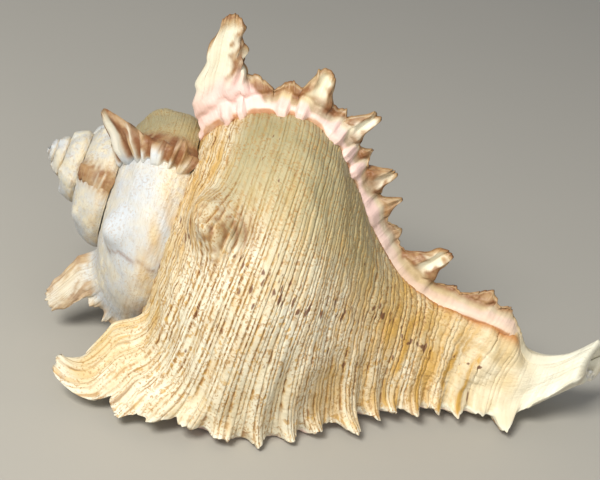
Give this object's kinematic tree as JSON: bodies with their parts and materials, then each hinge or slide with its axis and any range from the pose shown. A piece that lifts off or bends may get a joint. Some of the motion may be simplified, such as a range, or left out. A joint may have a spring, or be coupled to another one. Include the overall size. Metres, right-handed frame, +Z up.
{
  "type": "murex shell",
  "caption": "Large spiny sea shell with a low spire, frilled ribs, a wide mouth underneath and a short upturned canal.",
  "frame": {"origin": "under the middle of the resting shell's bounding box, on the surface that it lies on", "axes": "+X from the apex of the spire to the tip of the canal, +Z up as the shell rests with its mouth down, -Y towards the side with the outer lip"},
  "size_m": [0.1998, 0.125, 0.1143],
  "materials": {
    "shell": "satin, porcelain-like"
  },
  "bodies": {
    "root": {"murex_shell": "shell"}
  },
  "joints": []
}
